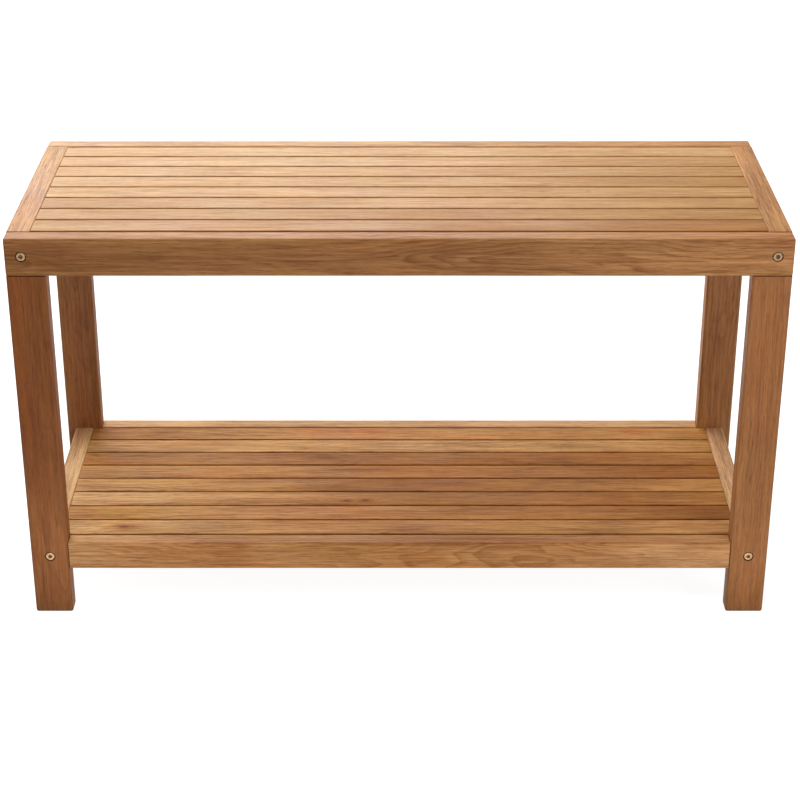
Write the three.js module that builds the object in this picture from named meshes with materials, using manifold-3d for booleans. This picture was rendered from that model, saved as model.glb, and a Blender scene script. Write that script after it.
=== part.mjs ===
// Slatted entryway bench with a low shelf, made of oiled hardwood boards and M6 furniture bolts.
// Millimetres; +X right, +Y to the back, +Z up; the origin is on the floor under the middle of the seat.
import * as THREE from "three";
import { mergeVertices } from "three/addons/utils/BufferGeometryUtils.js";
import Module from "manifold-3d";

const wasm = await Module();
wasm.setup();

// Overall size.
const WIDTH = 900;
const DEPTH = 347;
const HEIGHT = 495;

// Boards.
const LEG_WIDTH = 46;
const LEG_THICKNESS = 24;
const REAR_LEG_INSET = 10;
const SEAT_RAIL_HEIGHT = 46;
const SEAT_RAIL_THICKNESS = 24;
const SEAT_SIDE_RAIL_WIDTH = 27;
const SHELF_TOP = 98;
const SHELF_RAIL_HEIGHT = 36;
const SHELF_RAIL_THICKNESS = 22;
const SHELF_SIDE_RAIL_WIDTH = 24;
const SHELF_SIDE_RAIL_INSET = 11;
const SLAT_COUNT = 8;
const SLAT_WIDTH = 34;
const SLAT_THICKNESS = 14;
const SLAT_END_GAP = 0.4;
const BATTEN_WIDTH = 28;
const BATTEN_HEIGHT = 18;
const BATTEN_HOUSING = 8;
const SEAT_BATTEN_OFFSET = 380;
const SHELF_BATTEN_OFFSET = 355;

// Eased edges and the play left between neighbouring pieces.
const ARRIS = 2.4;
const END_EASE = 1.2;
const SEAT_RAIL_ARRIS = 3;
const SEAT_RAIL_END = 2.8;
const SIDE_RAIL_ARRIS = 1.4;
const SIDE_RAIL_END = 0.5;
const LEG_ARRIS = 3.2;
const FOOT_EASE = 3;
const SLAT_ARRIS = 1.6;
const SLAT_END_EASE = 0.4;
const BATTEN_ARRIS = 1.5;
const FIT = 0.2;
const OVERCUT = 2;

// Leg tongue lapped behind the end of each seat rail.
const LAP_THICKNESS = 12;
const TONGUE_TOP = 480;

// Furniture bolts and barrel nuts.
const BOLT_DIAMETER = 5.8;
const BOLT_HOLE = 6.8;
const BOLT_TIP_CHAMFER = 0.6;
const HEAD_DIAMETER = 10.8;
const HEAD_HEIGHT = 4;
const HEAD_CHAMFER = 0.5;
const SOCKET_ACROSS_FLATS = 5;
const SOCKET_DEPTH = 2.4;
const COUNTERBORE_DIAMETER = 12.6;
const COUNTERBORE_DEPTH = 4.8;
const NUT_DIAMETER = 9.6;
const NUT_HOLE = 10;
const NUT_LENGTH = 14;
const NUT_FROM_RAIL_END = 23;
const BOLT_PAST_NUT = 8;
const SEAT_BOLT_FROM_SIDE = 19;
const SEAT_BOLT_BELOW_TOP = 22;
const SHELF_BOLT_BELOW_TOP = 19;

// Wooden dowels in the seat frame and loose tenons in the shelf frame.
const DOWEL_DIAMETER = 8;
const DOWEL_LENGTH = 28;
const DOWEL_BELOW_TOP = 7.3;
const DOWEL_CHAMFER = 1;
const TENON_LENGTH = 34;
const TENON_WIDTH = 20;
const TENON_THICKNESS = 6;
const TENON_IN_LEG = 14;
const TENON_EASE = 0.6;

const ROUND_SEGMENTS = 20;
const CORNER_SEGMENTS = 3;
const UP_AXIS = new THREE.Vector3(0, 0, 1);
const AXES = {
  x: new THREE.Vector3(1, 0, 0),
  y: new THREE.Vector3(0, 1, 0),
  z: UP_AXIS,
};

const HALF_WIDTH = WIDTH / 2;
const HALF_DEPTH = DEPTH / 2;
const SEAT_RAIL_INNER = HALF_DEPTH - SEAT_RAIL_THICKNESS;
const LAP_LINE = HALF_DEPTH - LAP_THICKNESS;
const SHOULDER = HEIGHT - SEAT_RAIL_HEIGHT;
const LEG_INNER_X = HALF_WIDTH - LEG_WIDTH;
const SEAT_SIDE_INNER_X = HALF_WIDTH - SEAT_SIDE_RAIL_WIDTH;
const SHELF_SIDE_X = HALF_WIDTH - SHELF_SIDE_RAIL_INSET - SHELF_SIDE_RAIL_WIDTH / 2;
const SHELF_SIDE_INNER_X = SHELF_SIDE_X - SHELF_SIDE_RAIL_WIDTH / 2;
const SEAT_BOLT_Z = HEIGHT - SEAT_BOLT_BELOW_TOP;
const SHELF_BOLT_Z = SHELF_TOP - SHELF_BOLT_BELOW_TOP;

const SIDES = [
  { name: "left", sign: -1 },
  { name: "right", sign: 1 },
];
const ENDS = [
  { name: "front", sign: -1, legOuter: HALF_DEPTH },
  { name: "rear", sign: 1, legOuter: HALF_DEPTH - REAR_LEG_INSET },
];
const [FRONT, REAR] = ENDS;

const WOOD = {
  seatFrame: 0xc8986a,
  seatSlat: 0xd8ab7c,
  leg: 0x8f6240,
  shelfFrame: 0xb4845a,
  shelfSlat: 0xb67f52,
  batten: 0x9b7048,
  peg: 0xd9c39a,
};
const METAL = { bolt: 0xc9a45c, nut: 0xb9bcc0 };

function turnTo(geometry, axis) {
  const turn = new THREE.Quaternion().setFromUnitVectors(UP_AXIS, AXES[axis]);
  return geometry.applyQuaternion(turn);
}

function cleanIndex(geometry) {
  const index = geometry.index.array;
  const kept = [];
  for (let i = 0; i < index.length; i += 3) {
    const [a, b, c] = [index[i], index[i + 1], index[i + 2]];
    if (a !== b && b !== c && c !== a) {
      kept.push(a, b, c);
    }
  }
  return kept;
}

function toSolid(geometry) {
  const bare = geometry.clone();
  bare.deleteAttribute("normal");
  bare.deleteAttribute("uv");
  const merged = mergeVertices(bare, 1e-4);
  const mesh = new wasm.Mesh({
    numProp: 3,
    vertProperties: new Float32Array(merged.attributes.position.array),
    triVerts: new Uint32Array(cleanIndex(merged)),
  });
  return new wasm.Manifold(mesh);
}

function toGeometry(solid) {
  const mesh = solid.getMesh();
  const geometry = new THREE.BufferGeometry();
  geometry.setAttribute("position", new THREE.BufferAttribute(new Float32Array(mesh.vertProperties), 3));
  geometry.setIndex(new THREE.BufferAttribute(new Uint32Array(mesh.triVerts), 1));
  geometry.computeVertexNormals();
  return geometry;
}

function cut(geometry, tools) {
  let solid = toSolid(geometry);
  for (const tool of tools) {
    solid = solid.subtract(toSolid(tool));
  }
  return toGeometry(solid);
}

// Width and height of the section seen when looking along the board.
function sectionOf(size, axis) {
  if (axis === "x") {
    return [size[2], size[1]];
  }
  if (axis === "y") {
    return [size[0], size[2]];
  }
  return [size[0], size[1]];
}

// Outline of a rectangle with its four corners rounded, counter-clockwise.
function roundedRectangle(width, height, radius) {
  const points = [];
  const corners = [[1, 1], [-1, 1], [-1, -1], [1, -1]];
  corners.forEach(([signX, signY], corner) => {
    for (let step = 0; step <= CORNER_SEGMENTS; step += 1) {
      const angle = (corner + step / CORNER_SEGMENTS) * (Math.PI / 2);
      const x = signX * (width / 2 - radius) + radius * Math.cos(angle);
      const y = signY * (height / 2 - radius) + radius * Math.sin(angle);
      points.push(new THREE.Vector2(x, y));
    }
  });
  return new THREE.Shape(points);
}

// Board with rounded long edges and eased ends, its length along the given axis.
function board(size, centre, axis, endEase = END_EASE, radius = ARRIS) {
  const [width, height] = sectionOf(size, axis);
  const length = size["xyz".indexOf(axis)];
  const geometry = new THREE.ExtrudeGeometry(roundedRectangle(width, height, radius), {
    depth: length - 2 * endEase,
    bevelEnabled: true,
    bevelThickness: endEase,
    bevelSize: endEase,
    bevelOffset: -endEase,
    bevelSegments: 1,
  });
  geometry.center();
  return turnTo(geometry, axis).translate(...centre);
}

function block(from, to) {
  const size = from.map((value, i) => Math.abs(to[i] - value));
  const middle = from.map((value, i) => (to[i] + value) / 2);
  return new THREE.BoxGeometry(...size).translate(...middle);
}

// Straight round bore between two points on a line parallel to an axis.
function bore(diameter, centre, axis, from, to) {
  const radius = diameter / 2;
  const geometry = new THREE.CylinderGeometry(radius, radius, Math.abs(to - from), ROUND_SEGMENTS);
  const middle = [...centre];
  middle["xyz".indexOf(axis)] = (from + to) / 2;
  return turnTo(geometry.rotateX(Math.PI / 2), axis).translate(...middle);
}

function piece(group, name, geometry, colour, metalness = 0, roughness = 0.6) {
  const material = new THREE.MeshStandardMaterial({ color: colour, metalness, roughness });
  const mesh = new THREE.Mesh(geometry, material);
  mesh.name = name;
  group.add(mesh);
}

// Hole for one bolt from the outer face of a rail or leg, with its counterbore.
function boltHole(x, z, end, outer, inner) {
  const seat = outer - COUNTERBORE_DEPTH;
  return [
    bore(COUNTERBORE_DIAMETER, [x, 0, z], "y", end.sign * seat, end.sign * (outer + OVERCUT)),
    bore(BOLT_HOLE, [x, 0, z], "y", end.sign * inner, end.sign * (seat + OVERCUT)),
  ];
}

function tenonSlot(side, end, fromX, toX) {
  const y = end.sign * (end.legOuter - SHELF_RAIL_THICKNESS / 2);
  const size = [Math.abs(toX - fromX), TENON_THICKNESS + 2 * FIT, TENON_WIDTH + 2 * FIT];
  const centre = [(side.sign * (fromX + toX)) / 2, y, SHELF_TOP - SHELF_RAIL_HEIGHT / 2];
  return board(size, centre, "x", FIT, TENON_THICKNESS / 2 - FIT);
}

function leg(side, end) {
  const x = side.sign * (HALF_WIDTH - LEG_WIDTH / 2);
  const y = end.sign * (end.legOuter - LEG_THICKNESS / 2);
  const inner = end.legOuter - LEG_THICKNESS;
  const size = [LEG_WIDTH, LEG_THICKNESS, TONGUE_TOP];
  const post = board(size, [x, y, TONGUE_TOP / 2], "z", FOOT_EASE, LEG_ARRIS);
  const shoulderCut = block(
    [x - LEG_WIDTH, end.sign * (LAP_LINE - FIT), SHOULDER - FIT],
    [x + LEG_WIDTH, end.sign * (HALF_DEPTH + OVERCUT), TONGUE_TOP + OVERCUT],
  );
  const seatBoltX = side.sign * (HALF_WIDTH - SEAT_BOLT_FROM_SIDE);
  return cut(post, [
    shoulderCut,
    bore(BOLT_HOLE, [seatBoltX, 0, SEAT_BOLT_Z], "y", end.sign * (inner - OVERCUT), end.sign * HALF_DEPTH),
    ...boltHole(side.sign * SHELF_SIDE_X, SHELF_BOLT_Z, end, end.legOuter, inner - OVERCUT),
    tenonSlot(side, end, LEG_INNER_X - OVERCUT, LEG_INNER_X + TENON_IN_LEG + FIT),
  ]);
}

// Pockets that hold the batten ends in a front or rear rail.
function battenHousings(end, inner, offset, top) {
  return [-offset, 0, offset].map((x) =>
    block(
      [x - BATTEN_WIDTH / 2 - FIT, end.sign * (inner - OVERCUT), top - BATTEN_HEIGHT - FIT],
      [x + BATTEN_WIDTH / 2 + FIT, end.sign * (inner + BATTEN_HOUSING), top + FIT],
    ),
  );
}

function dowelHole(side, end, from, to) {
  const centre = [side.sign * (HALF_WIDTH - SEAT_SIDE_RAIL_WIDTH / 2), 0, HEIGHT - DOWEL_BELOW_TOP];
  return bore(DOWEL_DIAMETER + 2 * FIT, centre, "y", end.sign * from, end.sign * to);
}

function seatLongRail(end) {
  const y = end.sign * (HALF_DEPTH - SEAT_RAIL_THICKNESS / 2);
  const size = [WIDTH, SEAT_RAIL_THICKNESS, SEAT_RAIL_HEIGHT];
  const tools = battenHousings(end, SEAT_RAIL_INNER, SEAT_BATTEN_OFFSET, HEIGHT - SLAT_THICKNESS - FIT);
  for (const side of SIDES) {
    const boltX = side.sign * (HALF_WIDTH - SEAT_BOLT_FROM_SIDE);
    tools.push(
      block(
        [side.sign * (LEG_INNER_X - FIT), end.sign * (SEAT_RAIL_INNER - OVERCUT), SHOULDER - OVERCUT],
        [side.sign * (HALF_WIDTH + OVERCUT), end.sign * LAP_LINE, TONGUE_TOP + FIT],
      ),
      ...boltHole(boltX, SEAT_BOLT_Z, end, HALF_DEPTH, LAP_LINE - OVERCUT),
      dowelHole(side, end, SEAT_RAIL_INNER - OVERCUT, SEAT_RAIL_INNER + DOWEL_LENGTH / 2 + FIT),
    );
  }
  const centre = [0, y, HEIGHT - SEAT_RAIL_HEIGHT / 2];
  return cut(board(size, centre, "x", SEAT_RAIL_END, SEAT_RAIL_ARRIS), tools);
}

// Bores for one bolt and its barrel nut in the end of a side rail.
function railEndBores(side, end, boltX, z, railInnerX, railEnd) {
  const nutY = end.sign * (railEnd - NUT_FROM_RAIL_END);
  const nutCentre = [0, nutY, z];
  const boltFrom = end.sign * (railEnd - NUT_FROM_RAIL_END - BOLT_PAST_NUT - 2 * OVERCUT);
  return [
    bore(BOLT_HOLE, [side.sign * boltX, 0, z], "y", boltFrom, end.sign * (railEnd + OVERCUT)),
    bore(
      NUT_HOLE,
      nutCentre,
      "x",
      side.sign * (railInnerX - OVERCUT),
      side.sign * (boltX + NUT_LENGTH / 2 + FIT),
    ),
  ];
}

function legInner(end) {
  return end.legOuter - LEG_THICKNESS;
}

function seatSideRail(side) {
  const x = side.sign * (HALF_WIDTH - SEAT_SIDE_RAIL_WIDTH / 2);
  const length = 2 * (SEAT_RAIL_INNER - FIT);
  const size = [SEAT_SIDE_RAIL_WIDTH, length, SEAT_RAIL_HEIGHT];
  const tools = [
    block(
      [x - SEAT_SIDE_RAIL_WIDTH, legInner(REAR) - FIT, SHOULDER - OVERCUT],
      [x + SEAT_SIDE_RAIL_WIDTH, HALF_DEPTH, TONGUE_TOP + FIT],
    ),
  ];
  for (const end of ENDS) {
    const boltX = HALF_WIDTH - SEAT_BOLT_FROM_SIDE;
    tools.push(
      ...railEndBores(side, end, boltX, SEAT_BOLT_Z, SEAT_SIDE_INNER_X, legInner(end)),
      dowelHole(side, end, SEAT_RAIL_INNER - DOWEL_LENGTH / 2 - FIT, SEAT_RAIL_INNER + OVERCUT),
    );
  }
  const centre = [x, 0, HEIGHT - SEAT_RAIL_HEIGHT / 2];
  return cut(board(size, centre, "y", SIDE_RAIL_END, SIDE_RAIL_ARRIS), tools);
}

function shelfLongRail(end) {
  const inner = end.legOuter - SHELF_RAIL_THICKNESS;
  const y = end.sign * (end.legOuter - SHELF_RAIL_THICKNESS / 2);
  const size = [2 * (LEG_INNER_X - FIT), SHELF_RAIL_THICKNESS, SHELF_RAIL_HEIGHT];
  const tools = battenHousings(end, inner, SHELF_BATTEN_OFFSET, SHELF_TOP - SLAT_THICKNESS - FIT);
  const slotEnd = LEG_INNER_X - (TENON_LENGTH - TENON_IN_LEG) - FIT;
  for (const side of SIDES) {
    tools.push(tenonSlot(side, end, slotEnd, LEG_INNER_X + OVERCUT));
  }
  return cut(board(size, [0, y, SHELF_TOP - SHELF_RAIL_HEIGHT / 2], "x", END_EASE / 2), tools);
}

function shelfSideRail(side) {
  const x = side.sign * SHELF_SIDE_X;
  const from = -(legInner(FRONT) - FIT);
  const to = legInner(REAR) - FIT;
  const size = [SHELF_SIDE_RAIL_WIDTH, to - from, SHELF_RAIL_HEIGHT];
  const centre = [x, (from + to) / 2, SHELF_TOP - SHELF_RAIL_HEIGHT / 2];
  const rail = board(size, centre, "y", SIDE_RAIL_END, SIDE_RAIL_ARRIS);
  const tools = ENDS.flatMap((end) =>
    railEndBores(side, end, SHELF_SIDE_X, SHELF_BOLT_Z, SHELF_SIDE_INNER_X, legInner(end)),
  );
  return cut(rail, tools);
}

// Evenly spaced slats filling the space between a front and a rear rail.
function slats(group, prefix, from, to, innerX, top, colour) {
  const gap = (to - from - SLAT_COUNT * SLAT_WIDTH) / (SLAT_COUNT + 1);
  const size = [2 * (innerX - SLAT_END_GAP), SLAT_WIDTH, SLAT_THICKNESS];
  for (let i = 0; i < SLAT_COUNT; i += 1) {
    const y = from + gap + SLAT_WIDTH / 2 + i * (SLAT_WIDTH + gap);
    const slat = board(size, [0, y, top - SLAT_THICKNESS / 2], "x", SLAT_END_EASE, SLAT_ARRIS);
    piece(group, `${prefix}_slat_${i + 1}`, slat, colour);
  }
}

function battens(group, prefix, from, to, offset, top) {
  const start = from - BATTEN_HOUSING + FIT;
  const finish = to + BATTEN_HOUSING - FIT;
  const size = [BATTEN_WIDTH, finish - start, BATTEN_HEIGHT];
  const z = top - SLAT_THICKNESS - FIT - BATTEN_HEIGHT / 2;
  const places = [["left", -offset], ["middle", 0], ["right", offset]];
  for (const [place, x] of places) {
    const geometry = board(size, [x, (start + finish) / 2, z], "y", END_EASE, BATTEN_ARRIS);
    piece(group, `${prefix}_batten_${place}`, geometry, WOOD.batten);
  }
}

function bolt(x, z, end, outer, nutY) {
  const headFace = outer - COUNTERBORE_DEPTH + FIT + HEAD_HEIGHT;
  const underHead = headFace - HEAD_HEIGHT;
  const tip = nutY - BOLT_PAST_NUT;
  const [head, shank] = [HEAD_DIAMETER / 2, BOLT_DIAMETER / 2];
  const profile = [
    [0, tip],
    [shank - BOLT_TIP_CHAMFER, tip],
    [shank, tip + BOLT_TIP_CHAMFER],
    [shank, underHead],
    [head, underHead],
    [head, headFace - HEAD_CHAMFER],
    [head - HEAD_CHAMFER, headFace],
    [0, headFace],
  ].map(([radius, y]) => new THREE.Vector2(radius, y));
  const socketRadius = SOCKET_ACROSS_FLATS / Math.sqrt(3);
  const socket = new THREE.CylinderGeometry(socketRadius, socketRadius, SOCKET_DEPTH + OVERCUT, 6);
  socket.translate(0, headFace + (OVERCUT - SOCKET_DEPTH) / 2, 0);
  const geometry = cut(new THREE.LatheGeometry(profile, ROUND_SEGMENTS), [socket]);
  if (end.sign < 0) {
    geometry.rotateZ(Math.PI);
  }
  return geometry.translate(x, 0, z);
}

function barrelNut(x, y, z) {
  const body = bore(NUT_DIAMETER, [0, y, z], "x", x - NUT_LENGTH / 2, x + NUT_LENGTH / 2);
  return cut(body, [bore(BOLT_DIAMETER + 2 * FIT, [x, 0, z], "y", y - NUT_DIAMETER, y + NUT_DIAMETER)]);
}

function fastening(group, prefix, side, end, boltX, z, outer) {
  const corner = `${end.name}_${side.name}`;
  const nutY = legInner(end) - NUT_FROM_RAIL_END;
  const x = side.sign * boltX;
  piece(group, `${prefix}_bolt_${corner}`, bolt(x, z, end, outer, nutY), METAL.bolt, 1, 0.35);
  piece(group, `${prefix}_nut_${corner}`, barrelNut(x, end.sign * nutY, z), METAL.nut, 1, 0.4);
}

function dowel(side, end) {
  const centre = [
    side.sign * (HALF_WIDTH - SEAT_SIDE_RAIL_WIDTH / 2),
    end.sign * SEAT_RAIL_INNER,
    HEIGHT - DOWEL_BELOW_TOP,
  ];
  const [radius, half] = [DOWEL_DIAMETER / 2, DOWEL_LENGTH / 2];
  const profile = [
    [0, -half],
    [radius - DOWEL_CHAMFER, -half],
    [radius, DOWEL_CHAMFER - half],
    [radius, half - DOWEL_CHAMFER],
    [radius - DOWEL_CHAMFER, half],
    [0, half],
  ].map(([r, y]) => new THREE.Vector2(r, y));
  return cut(new THREE.LatheGeometry(profile, ROUND_SEGMENTS), []).translate(...centre);
}

function tenon(side, end) {
  const x = side.sign * (LEG_INNER_X + TENON_IN_LEG - TENON_LENGTH / 2);
  const y = end.sign * (end.legOuter - SHELF_RAIL_THICKNESS / 2);
  const size = [TENON_LENGTH, TENON_THICKNESS, TENON_WIDTH];
  return board(size, [x, y, SHELF_TOP - SHELF_RAIL_HEIGHT / 2], "x", TENON_EASE, TENON_THICKNESS / 2 - FIT);
}

function seat() {
  const group = new THREE.Group();
  for (const end of ENDS) {
    piece(group, `seat_${end.name}_rail`, seatLongRail(end), WOOD.seatFrame);
  }
  for (const side of SIDES) {
    piece(group, `seat_${side.name}_rail`, seatSideRail(side), WOOD.seatFrame);
    for (const end of ENDS) {
      fastening(group, "seat", side, end, HALF_WIDTH - SEAT_BOLT_FROM_SIDE, SEAT_BOLT_Z, HALF_DEPTH);
      piece(group, `seat_dowel_${end.name}_${side.name}`, dowel(side, end), WOOD.peg);
    }
  }
  slats(group, "seat", -SEAT_RAIL_INNER, SEAT_RAIL_INNER, SEAT_SIDE_INNER_X, HEIGHT, WOOD.seatSlat);
  battens(group, "seat", -SEAT_RAIL_INNER, SEAT_RAIL_INNER, SEAT_BATTEN_OFFSET, HEIGHT);
  return group;
}

function shelf() {
  const group = new THREE.Group();
  const from = -(FRONT.legOuter - SHELF_RAIL_THICKNESS);
  const to = REAR.legOuter - SHELF_RAIL_THICKNESS;
  for (const end of ENDS) {
    piece(group, `shelf_${end.name}_rail`, shelfLongRail(end), WOOD.shelfFrame);
  }
  for (const side of SIDES) {
    piece(group, `shelf_${side.name}_rail`, shelfSideRail(side), WOOD.shelfFrame);
    for (const end of ENDS) {
      fastening(group, "shelf", side, end, SHELF_SIDE_X, SHELF_BOLT_Z, end.legOuter);
      piece(group, `shelf_tenon_${end.name}_${side.name}`, tenon(side, end), WOOD.peg);
    }
  }
  slats(group, "shelf", from, to, SHELF_SIDE_INNER_X, SHELF_TOP, WOOD.shelfSlat);
  battens(group, "shelf", from, to, SHELF_BATTEN_OFFSET, SHELF_TOP);
  return group;
}

function legs() {
  const group = new THREE.Group();
  for (const end of ENDS) {
    for (const side of SIDES) {
      piece(group, `${end.name}_${side.name}_leg`, leg(side, end), WOOD.leg);
    }
  }
  return group;
}

const bench = new THREE.Group();
bench.add(legs(), seat(), shelf());

export default bench;
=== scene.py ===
"""Looks of the slatted entryway bench: planed boards, oiled hardwood, furniture bolts and wood screws.

Everything is in metres in the row frame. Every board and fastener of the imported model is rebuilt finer,
inside its own box, with the same joints cut in it. The wood is a solid pattern that runs along each board.
"""

import itertools
import math
import random
from collections import namedtuple

import bmesh
import bpy
from mathutils import Matrix, Vector, noise


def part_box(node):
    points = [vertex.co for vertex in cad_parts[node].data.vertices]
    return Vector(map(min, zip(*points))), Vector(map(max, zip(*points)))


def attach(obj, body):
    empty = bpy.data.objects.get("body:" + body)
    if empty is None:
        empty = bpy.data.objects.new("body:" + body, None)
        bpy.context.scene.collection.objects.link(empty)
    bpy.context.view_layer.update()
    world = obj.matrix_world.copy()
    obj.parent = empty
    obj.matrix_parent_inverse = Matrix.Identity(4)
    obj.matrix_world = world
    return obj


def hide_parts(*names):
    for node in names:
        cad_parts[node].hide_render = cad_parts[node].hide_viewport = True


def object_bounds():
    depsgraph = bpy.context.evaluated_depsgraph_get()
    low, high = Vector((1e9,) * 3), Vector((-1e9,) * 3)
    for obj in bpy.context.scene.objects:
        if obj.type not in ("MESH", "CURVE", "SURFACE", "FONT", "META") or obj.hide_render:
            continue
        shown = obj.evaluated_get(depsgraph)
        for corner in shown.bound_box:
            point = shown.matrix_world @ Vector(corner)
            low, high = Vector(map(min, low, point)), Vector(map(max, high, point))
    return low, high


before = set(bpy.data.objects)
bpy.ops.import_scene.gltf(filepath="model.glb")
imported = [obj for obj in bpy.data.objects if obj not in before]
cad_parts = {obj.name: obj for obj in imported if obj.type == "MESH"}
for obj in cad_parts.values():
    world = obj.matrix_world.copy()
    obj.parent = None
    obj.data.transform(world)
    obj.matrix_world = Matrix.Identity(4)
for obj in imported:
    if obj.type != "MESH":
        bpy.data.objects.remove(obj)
cad_low, cad_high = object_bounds()

MM = 0.001

# Boards.
ARRIS = 2.4 * MM
END_EASE = 1.2 * MM
SHELF_RAIL_END = END_EASE / 2
SEAT_RAIL_ARRIS = 3.0 * MM
SEAT_RAIL_END = 2.8 * MM
SIDE_RAIL_ARRIS = 1.4 * MM
SIDE_RAIL_END = 0.5 * MM
LEG_ARRIS = 3.2 * MM
FOOT_EASE = 3.0 * MM
BATTEN_ARRIS = 1.5 * MM
SLAT_ARRIS = 1.6 * MM
SLAT_END_EASE = 0.4 * MM
SLAT_THICKNESS = 14 * MM
STATION_STEP = 10 * MM
CORNER_STEPS = 5
END_STEPS = 4
SEED_SPACING = 3.7
WIDE_SUPPORTS = (0.04, 0.18, 0.34, 0.5, 0.66, 0.82, 0.96)
NARROW_SUPPORTS = (0.07, 0.35, 0.65, 0.93)
PLANING_DEPTH = 0.12 * MM
PLANING_WAVES = 14
ARRIS_DRIFT = 0.16
ARRIS_WAVES = 9
FACE_POWER = 24
WEAR_AND_HIGHLIGHT_REACH = 1.6 * ARRIS
SKIN = 0.4 * MM
SHARP_ANGLE = math.radians(32)
METAL_SHARP_ANGLE = math.radians(40)

# Joints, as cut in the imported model.
FIT = 0.2 * MM
OVERCUT = 2 * MM
SHOULDER = 449 * MM
TONGUE_TOP = 480 * MM
LAP_LINE = 161.5 * MM
SEAT_RAIL_INNER = 149.5 * MM
LEG_INNER_X = 404 * MM
BATTEN_HOUSING = 8 * MM
BOLT_HOLE = 6.8 * MM
COUNTERBORE = 12.6 * MM
COUNTERBORE_DEPTH = 4.8 * MM
RIM_FLARE = 0.35 * MM
NUT_HOLE = 10 * MM
DOWEL_HOLE = 8.4 * MM
DOWEL_HOLE_DEPTH = 14.2 * MM
TENON_SLOT = (6.4 * MM, 20.4 * MM)
TENON_SLOT_IN_LEG = 14.2 * MM
TENON_SLOT_IN_RAIL = 20.2 * MM
TENON_ARRIS = 2.8 * MM
TENON_EASE = 0.6 * MM

# Bolts, nuts, dowels and wood screws.
HEAD_HEIGHT = 4 * MM
HEAD_BEVEL = 0.4 * MM
HEAD_RIM = 0.45 * MM
# Outline of a bolt's head from its rim to its middle, in mm in from the rim and down from the top.
HEAD_CROWN = ((0, 0.9), (0.15, 0.45), (0.5, 0.12), (1.0, 0), (1.5, 0.02), (1.7, 0.25), (2.0, 0.25))
SHANK_RADIUS = 2.9 * MM
SHANK_TIP = 0.6 * MM
THREAD_PITCH = 1.25 * MM
THREAD_STEPS = 6
THREAD_DEPTH = 0.42 * MM
THREAD_LENGTH = 20 * MM
THREAD_MARGIN = 0.5 * MM
SOCKET_ACROSS_FLATS = 5 * MM
SOCKET_RADIUS = SOCKET_ACROSS_FLATS / math.sqrt(3)
SOCKET_DEPTH = 2.4 * MM
SOCKET_TIP = 0.9 * MM
SOCKET_MOUTH = 0.3 * MM
SOCKET_CUTTER = 6 * MM
NUT_CHAMFER = 0.6 * MM
NUT_THREAD_HOLE = 6.2 * MM
NUT_SLOT_WIDTH = 1.4 * MM
NUT_SLOT_DEPTH = 1.4 * MM
DOWEL_CHAMFER = 0.9 * MM
DOWEL_FLUTES = 12
DOWEL_FLUTE_DEPTH = 0.22 * MM
DOWEL_SEGMENTS = 72
SCREW_HEAD_RADIUS = 3.1 * MM
SCREW_HEAD_DEPTH = 2.4 * MM
SCREW_SHANK_RADIUS = 1.5 * MM
SCREW_LENGTH = 26 * MM
SCREW_SINK = 0.4 * MM
SCREW_HEAD_FIT = 0.25 * MM
SCREW_SHANK_FIT = 0.1 * MM
SCREW_SPREAD = 8 * MM
SCREW_PLAIN = 9 * MM
SCREW_TIP = 3 * MM
SCREW_THREADS = 22
SCREW_CORE = 0.72
SCREW_RECESS = (3.4 * MM, 0.7 * MM, 2.6 * MM)
PILOT_HOLE = 2 * SCREW_SHANK_RADIUS + 0.2 * MM
PILOT_HOLE_DEPTH = 10 * MM
ROUND_SEGMENTS = 40
SCREW_HOLE_SEGMENTS = 24
SCREW_SEGMENTS = 16

# How dark metal is made, from 0 to 1: painted shade in a bolt's socket and at the rim of its head, dirt on
# nuts and screws.
SOCKET_SHADE = 0.72
RIM_SHADE = 0.6
NUT_GRIME = 0.35
SCREW_GRIME = 0.5

# Colours of the studio lamps.
NEUTRAL = (1.0, 0.99, 0.97)
WARM = (1.0, 0.98, 0.95)

# The camera looks along Y and down, with its axis a hair to the side of the middle.
CAMERA_PLACE = (0.0, -2.3052, 1.3312)
CAMERA_TILT = math.radians(64.017)
CAMERA_LENS = 90.69
CAMERA_SHIFT = 0.00094

AXES = (Vector((1, 0, 0)), Vector((0, 1, 0)), Vector((0, 0, 1)))
SIDES = {"left": -1, "right": 1}
ENDS = {"front": -1, "rear": 1}
SLATS = range(1, 9)
PLACES = ("left", "middle", "right")

# A board's frame: its centre, the indices of its long, wide and thin axes, and its half sizes.
Board = namedtuple("Board", "centre long wide thin half")

# How one board's colour differs, partly its wood's own tone and partly painted light and shade: lightness at
# its left, front or lower end, middle and other end, then its warmth and ring strength.
ToneAndPaintedLight = namedtuple("ToneAndPaintedLight", "start middle end warm rings")

# A soft stain on a board, and on the seat's front rail also patches of painted light and shade: place along
# and across it, reach along and across, and tint.
Patch = namedtuple("Patch", "along across reach_along reach_across tint")

# An oiled wood: pale and dark colour, roughness, specular level, slow variation and strength of its streaks.
Wood = namedtuple("Wood", "pale dark roughness shine variety figure")

WOODS = {
    "seat_frame": Wood((0.59, 0.29, 0.105), (0.27, 0.102, 0.029), 0.54, 0.24, 0.6, 1.0),
    "seat_slats": Wood((0.64, 0.37, 0.15), (0.36, 0.16, 0.048), 0.52, 0.22, 0.45, 1.0),
    "legs": Wood((0.5, 0.205, 0.068), (0.2, 0.068, 0.019), 0.56, 0.24, 0.6, 0.65),
    "shelf_frame": Wood((0.64, 0.325, 0.125), (0.31, 0.125, 0.038), 0.54, 0.14, 0.8, 1.0),
    "shelf_slats": Wood((0.68, 0.345, 0.108), (0.28, 0.107, 0.03), 0.54, 0.1, 0.8, 1.0),
    "battens": Wood((0.5, 0.26, 0.11), (0.28, 0.12, 0.045), 0.62, 0.2, 0.7, 1.0),
    "pegs": Wood((0.66, 0.48, 0.28), (0.5, 0.32, 0.16), 0.6, 0.2, 0.4, 1.0),
}

# A darker board is also a more saturated one: its green and blue fall faster than its red.
DARK_GREEN = 1.6
DARK_BLUE = 2.7
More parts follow.
